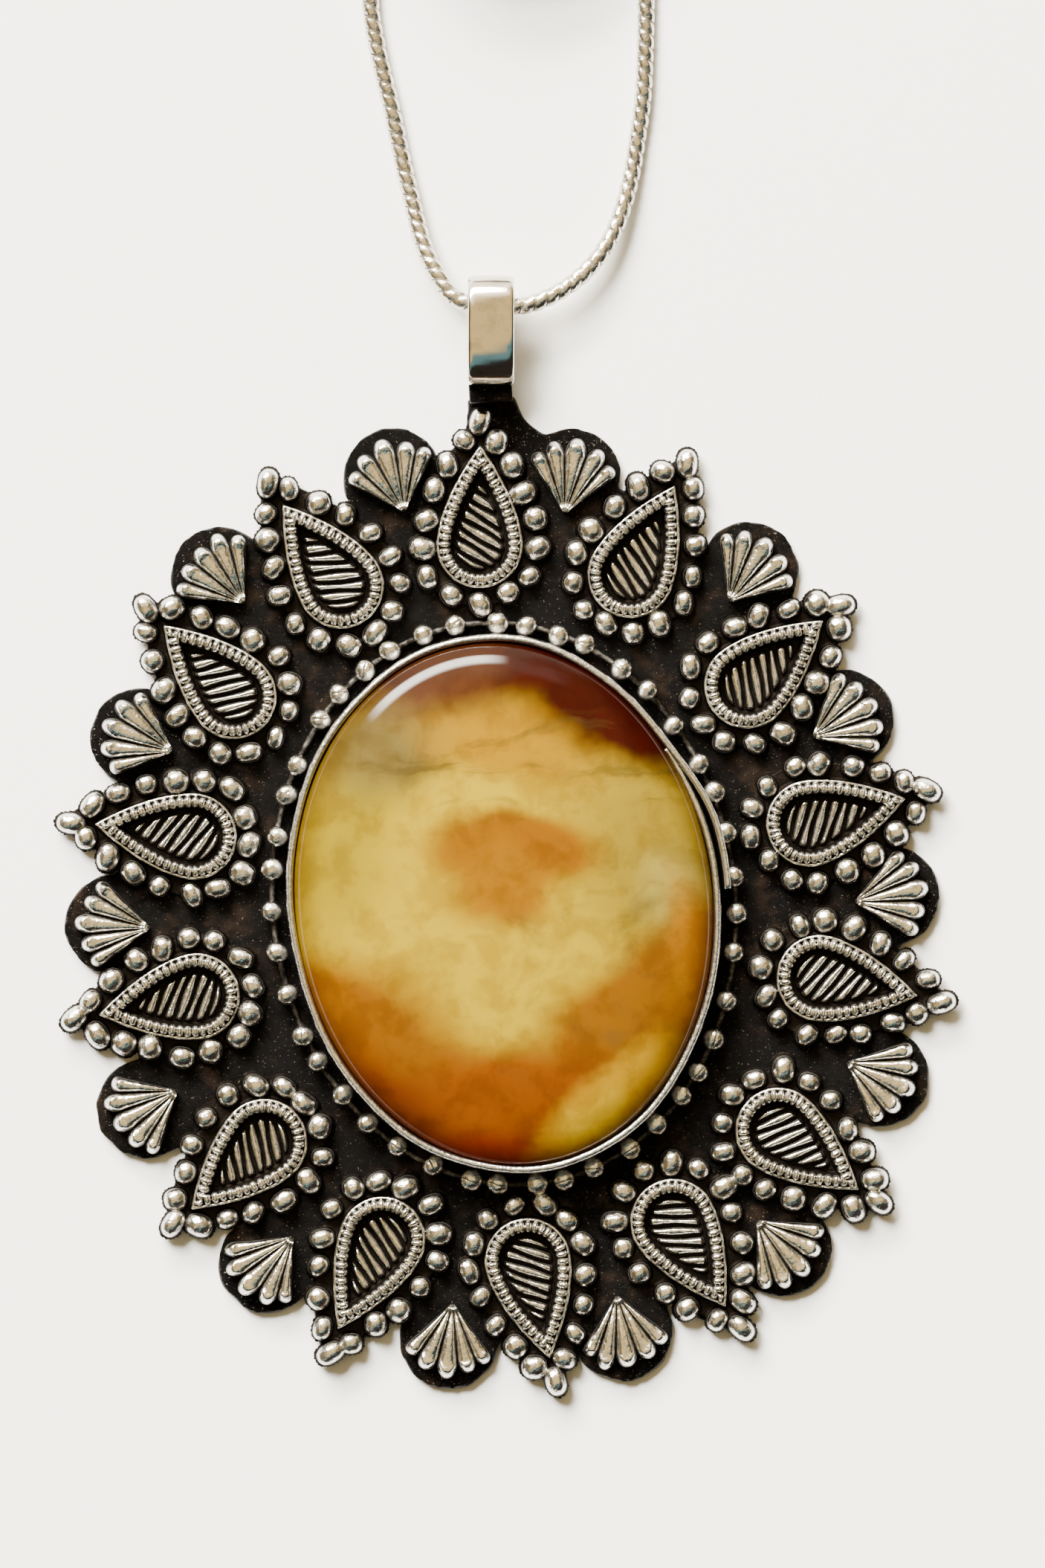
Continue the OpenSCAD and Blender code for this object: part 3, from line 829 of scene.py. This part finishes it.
# ---------------------------------------------------------------- beads, bezel and stone

BEZEL_RISE = 3.2
BEADS = 43
BEAD_R = 0.77
BEAD_A, BEAD_B = 15.5, 18.9  # half width and half height of the wire's oval
WIRE_R = 0.2


def ball(sides, rows):
    """Points and faces of a unit ball with a small flat at each pole."""
    tilt = np.linspace(-math.pi / 2, math.pi / 2, rows)
    turn = 2 * math.pi * np.arange(sides) / sides
    rings = [[(math.cos(e) * math.cos(a), math.cos(e) * math.sin(a), math.sin(e)) for a in turn]
             for e in tilt[1:-1]]
    return loft(rings)


def on_stone(points):
    """Points that were made round the stone's middle, moved to where the stone is."""
    c, s = math.cos(STONE_TURN), math.sin(STONE_TURN)
    return points @ np.array([[c, s, 0], [-s, c, 0], [0, 0, 1]]) + STONE_AT


def merged(name, points, faces, wear=None):
    """A mesh object whose doubled points are joined and whose faces all look outwards."""
    piece = mesh_piece(name, points, faces, wear)
    form = bmesh.new()
    form.from_mesh(piece.data)
    bmesh.ops.remove_doubles(form, verts=form.verts, dist=1e-7)
    bmesh.ops.recalc_face_normals(form, faces=form.faces)
    form.to_mesh(piece.data)
    form.free()
    return piece


def bead(t, ball_points):
    """One bead's points and wear: a little squashed, some with a seam across the top."""
    seam = np.exp(-((ball_points[:, 0] - 0.1) / 0.06) ** 2) * (rng.random() < 0.5)
    squash = rng.uniform(0.9, 1.04, 3) * (1, 1, 0.97)
    shape = ball_points * squash * BEAD_R * (1 - 0.06 * seam)[:, None]
    spin = t + rng.normal(0, 0.6)
    c, s = math.cos(spin), math.sin(spin)
    shift = rng.normal(0, 0.08)
    x = c * shape[:, 0] - s * shape[:, 1] + (BEAD_A + shift) * math.cos(t)
    y = s * shape[:, 0] + c * shape[:, 1] + (BEAD_B + shift) * math.sin(t)
    z = PLATE_TOP + BEAD_R + shape[:, 2]
    wear = smooth_step(-0.75, 0.15, ball_points[:, 2]) * (1 - 0.8 * seam)
    return np.stack([x, y, z], 1), wear


def beaded_ring():
    """The beads and the thin wire through them, as one piece."""
    ball_points, ball_faces = ball(36, 24)
    points, faces, wear = [], [], []
    for k in range(BEADS):
        angle = math.radians(360 * (k + 0.12 * rng.normal()) / BEADS)
        skin, shade = bead(angle, ball_points)
        start = k * len(ball_points)
        faces += [[v + start for v in f] for f in ball_faces]
        points.append(skin)
        wear.append(shade)
    rings = []
    for t in np.radians(np.linspace(0, 360, 177)):
        middle = np.array([BEAD_A * math.cos(t), BEAD_B * math.sin(t), PLATE_TOP + WIRE_R])
        out = unit(np.array([math.cos(t) / BEAD_A, math.sin(t) / BEAD_B, 0]))
        rings.append([middle + WIRE_R * (math.cos(a) * out + np.array([0, 0, math.sin(a)]))
                      for a in np.radians(range(0, 360, 45))])
    skin, wire_faces = loft(rings, capped=False)
    start = BEADS * len(ball_points)
    faces += [[v + start for v in f] for f in wire_faces]
    points.append(skin)
    wear.append(np.full(len(skin), 0.36))
    piece = merged("beaded_wire", on_stone(np.concatenate(points)), faces, np.concatenate(wear))
    finish_piece(piece, "pendant", "ornament_silver", ORNAMENT, "beaded_ring")


# the strip's section, as (in from the outside, up from the plate, wear)
BEZEL_SECTION = [
    (0.02, 0.0, 0.1), (0.0, 0.5, 0.35), (0.0, 1.6, 0.6), (0.02, 2.6, 0.8), (0.06, 3.0, 0.95),
    (0.15, 3.16, 1.0), (0.3, 3.2, 1.0), (0.45, 3.14, 0.95), (0.52, 3.0, 0.4), (0.46, 2.7, 0.1),
    (0.45, 0.0, 0.0)]
LAP_START, LAP_END = 36, -3  # degrees above +X where the free end lifts off, and where it ends
LAP_OUT = 0.8


def bezel_strip():
    """One strip, from under the lap, clockwise right round and over its own start."""
    rings, wear = [], []
    for angle in np.linspace(LAP_START - 6, LAP_END - 360, 440):
        t = math.radians(angle)
        over = smooth_step(LAP_START - 360, LAP_END + 13 - 360, angle) if angle < -300 else 0
        # over leans the free end out, under tucks the start in, wobble is the hand-bent edge
        wobble = 0.05 * math.sin(5 * t + 1) + 0.03 * math.sin(11 * t)
        out = unit(np.array([math.cos(t) / BEZEL_A, math.sin(t) / BEZEL_B, 0]))
        edge = np.array([BEZEL_A * math.cos(t), BEZEL_B * math.sin(t), PLATE_TOP])
        under = 0.1 * smooth_step(LAP_END - 4, LAP_START - 6, angle) if angle > LAP_END - 4 else 0
        ring = []
        for inward, rise, _ in BEZEL_SECTION:
            lean = LAP_OUT * over * (0.35 + 0.65 * rise / BEZEL_RISE) - under - inward + wobble
            ring.append(edge + out * lean + np.array([0, 0, rise * (1 - under)]))
        rings.append(ring)
        wear += [w for _, _, w in BEZEL_SECTION]
    skin, faces = loft(rings)
    piece = mesh_piece("bezel_strip_lapped", on_stone(skin), faces, wear)
    finish_piece(piece, "pendant", "bezel_silver", BEZEL, "bezel_strip")


STONE_GAP = 0.06


def stone():
    """A cabochon: a short wall, a round shoulder and a low dome."""
    low, high = (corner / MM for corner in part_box("stone"))
    girdle = PLATE_TOP + 2.6
    rings = [(1.0, low.z), (1.0, girdle - 0.4)]
    for k in range(49):
        a = math.pi / 2 * k / 49
        rings.append((math.cos(a) ** 0.72, girdle + (high.z - girdle) * math.sin(a) ** 1.15))
    inset = BEZEL_T + STONE_GAP
    half_a, half_b = BEZEL_A - inset, BEZEL_B - inset
    turn = 2 * math.pi * np.arange(160) / 160
    skin, faces = loft([
        [(half_a * s * math.cos(a), half_b * s * math.sin(a), z) for a in turn] for s, z in rings])
    piece = mesh_piece("agate_cabochon", on_stone(skin), faces)
    finish_piece(piece, "pendant", "agate", AGATE, "stone")


beaded_ring()
bezel_strip()
stone()

# ---------------------------------------------------------------- bail

BAIL_AT = (1.17, 38.2, 2.9)
BAIL_TURN = -3.8
BAIL_TALL, BAIL_DEEP, BAIL_W, BAIL_T = 7.3, 4.4, 3.1, 0.55
BAIL_CLEAR = 0.03  # that the band stands further out than in the CAD, to clear the chain's links
BAIL_CROWN = 0.04


def bail():
    """A band round a tall loop, with softly rounded edges and a slight crown."""
    c, s = math.cos(math.radians(BAIL_TURN)), math.sin(math.radians(BAIL_TURN))
    section = []
    for k in range(24):
        a = 2 * math.pi * k / 24
        ca, sa = math.cos(a), math.sin(a)
        across = BAIL_W / 2 * math.copysign(abs(ca) ** 0.3, ca)
        deep = BAIL_T / 2 * math.copysign(abs(sa) ** 0.55, sa)
        crown = BAIL_CROWN * (1 - (across / BAIL_W * 2) ** 2)
        section.append((across, deep + BAIL_CLEAR + crown))
    rings = []
    for t in np.linspace(0, 2 * math.pi, 97):
        ct = math.copysign(abs(math.cos(t)) ** 0.8, math.cos(t))
        st = math.copysign(abs(math.sin(t)) ** 0.8, math.sin(t))
        ring = []
        for across, deep in section:
            y = ((BAIL_TALL - BAIL_T) / 2 + deep) * ct
            z = ((BAIL_DEEP - BAIL_T) / 2 + deep) * st
            place = (c * across - s * y, s * across + c * y, z)
            ring.append(np.add(BAIL_AT, place))
        rings.append(ring)
    skin, faces = loft(rings, capped=False)
    piece = merged("bail_band", skin, faces)
    finish_piece(piece, "pendant", "polished_silver", BAIL, "bail")


bail()

# ---------------------------------------------------------------- floor and light


def floor():
    """A plain pale floor a hair under everything, so that no face lies in it."""
    mesh = bpy.data.meshes.new("floor")
    r = 1500 * MM
    z = -0.02 * MM
    mesh.from_pydata([(-r, -r, z), (r, -r, z), (r, r, z), (-r, r, z)], [], [(0, 1, 2, 3)])
    piece = bpy.data.objects.new("floor", mesh)
    SCENE.collection.objects.link(piece)
    material, tree, place = new_material("pale_floor")
    cloud = noise_node(tree, place, 0.02, 2.0)
    output(tree, {
        "Base Color": mix(tree, cloud, (0.80, 0.79, 0.76), (0.84, 0.83, 0.80)),
        "Roughness": 0.9,
    })
    mesh.materials.append(material)


def key_light():
    """A broad window at the top left; the world holds what the silver reflects of it."""
    data = bpy.data.lights.new("window", "AREA")
    data.shape = "RECTANGLE"
    data.size, data.size_y = 0.4, 0.3
    data.energy = 46.0
    data.color = (1.0, 0.98, 0.95)
    light = bpy.data.objects.new("window", data)
    light.location = (-0.35, 0.55, 0.8)
    light.rotation_euler = (-light.location).to_track_quat("-Z", "Y").to_euler()
    light.visible_glossy = False
    SCENE.collection.objects.link(light)


def toward(tree, way, azimuth, spread, low, high):
    """1 where a direction's azimuth and height above the horizon fall in a soft window."""
    flat = vector(tree, "MULTIPLY", way, (1, 1, 0))
    flat = add(tree, "VectorMath", {0: flat}, operation="NORMALIZE").outputs[0]
    aim = (math.cos(math.radians(azimuth)), math.sin(math.radians(azimuth)), 0)
    edge = math.cos(math.radians(spread))
    near = step_node(tree, dot(tree, flat, aim), edge - 0.06, edge + 0.03)
    lift = add(tree, "SeparateXYZ", {0: way}).outputs[2]
    rise = step_node(tree, lift, low - 0.04, low + 0.04)
    fall = step_node(tree, lift, high + 0.04, high - 0.04)
    return product(tree, near, product(tree, rise, fall))


def studio():
    """What the silver mirrors: warm above, white to the north, teal and dark to the south."""
    world = bpy.data.worlds.new("studio")
    world.use_nodes = True
    tree = world.node_tree
    tree.nodes.clear()
    way = add(tree, "TexCoord").outputs["Generated"]
    bent = swayed(tree, way, 2.5, 2.0, 0.5)
    north = dot(tree, bent, (-0.3, 0.95, 0))
    tan, dark, teal = (1.1, 0.78, 0.32), (0.03, 0.024, 0.02), (0.16, 0.32, 0.34)
    colour = mix(tree, step_node(tree, north, -0.16, -0.3), tan, teal)
    colour = mix(tree, step_node(tree, north, -0.4, -0.54), colour, dark)
    colour = mix(tree, step_node(tree, north, 0.54, 0.74), colour, (3.2, 2.8, 2.1))
    east = add(tree, "SeparateXYZ", {0: bent}).outputs[0]
    aside = add(tree, "Math", {0: east}, operation="ABSOLUTE").outputs[0]
    colour = mix(tree, product(tree, step_node(tree, aside, 0.5, 0.72), 0.85), colour, dark)
    window = toward(tree, way, azimuth=108, spread=20, low=0.44, high=0.6)
    colour = mix(tree, window, colour, (130.0, 123.0, 108.0))
    glow = add(tree, "Background", {"Color": colour, "Strength": 1.0})
    add(tree, "OutputWorld", {0: glow.outputs[0]})
    SCENE.world = world


floor()
key_light()
studio()
